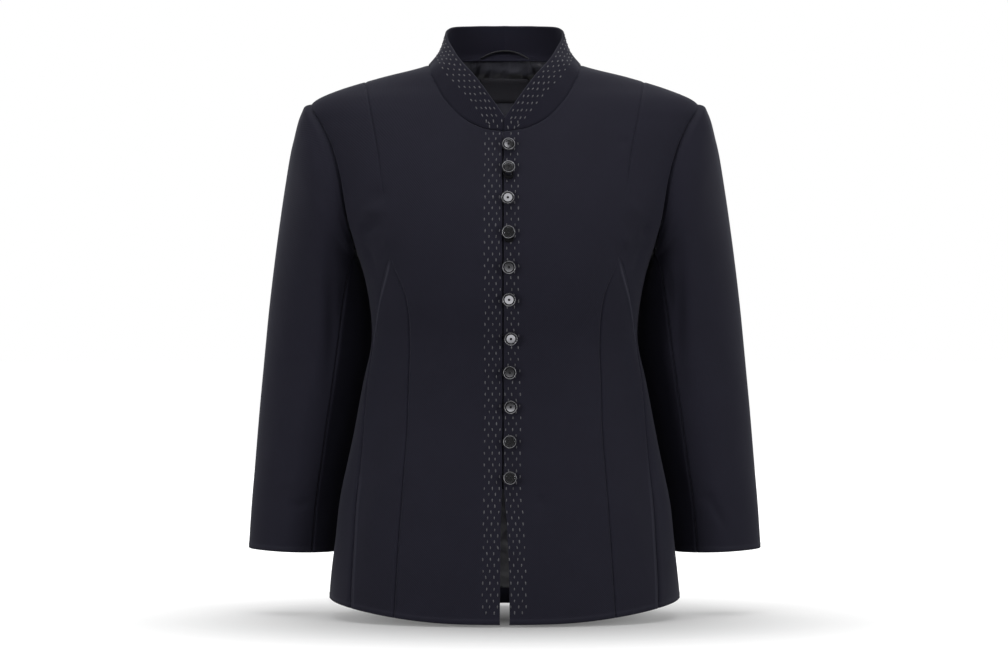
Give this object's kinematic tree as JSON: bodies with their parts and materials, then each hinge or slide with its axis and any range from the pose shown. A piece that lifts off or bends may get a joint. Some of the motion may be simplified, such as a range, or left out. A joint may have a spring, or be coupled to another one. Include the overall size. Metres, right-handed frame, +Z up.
{
  "type": "suit jacket",
  "caption": "Fitted suit jacket with a stand collar falling to a V, an edge-to-edge front closed by small buttons in loops, three-quarter sleeves and a seamed waist, filled out as if worn.",
  "frame": {"origin": "middle of the neck base, level with the points where the shoulder seams meet the collar", "axes": "+Z up, -Y out of the front, +X to the wearer's left"},
  "size_m": [0.5674, 0.2479, 0.6506],
  "materials": {
    "wool": "fine matt wool with a soft sheen",
    "satin": "satin lining",
    "label": "plain woven patch",
    "cord": "dull cord",
    "button": "polished"
  },
  "bodies": {
    "root": {"front_right": "wool", "front_left": "wool", "side_front_right": "wool", "side_front_left": "wool", "back": "wool", "upper_sleeve_right": "wool", "upper_sleeve_left": "wool", "under_sleeve_right": "wool", "under_sleeve_left": "wool", "collar": "wool", "back_lining": "satin", "neck_label": "label", "hanger_loop": "cord", "button_loops": "cord", "button_01": "button", "button_02": "button", "button_03": "button", "button_04": "button", "button_05": "button", "button_06": "button", "button_07": "button", "button_08": "button", "button_09": "button", "button_10": "button", "button_11": "button"}
  },
  "joints": []
}
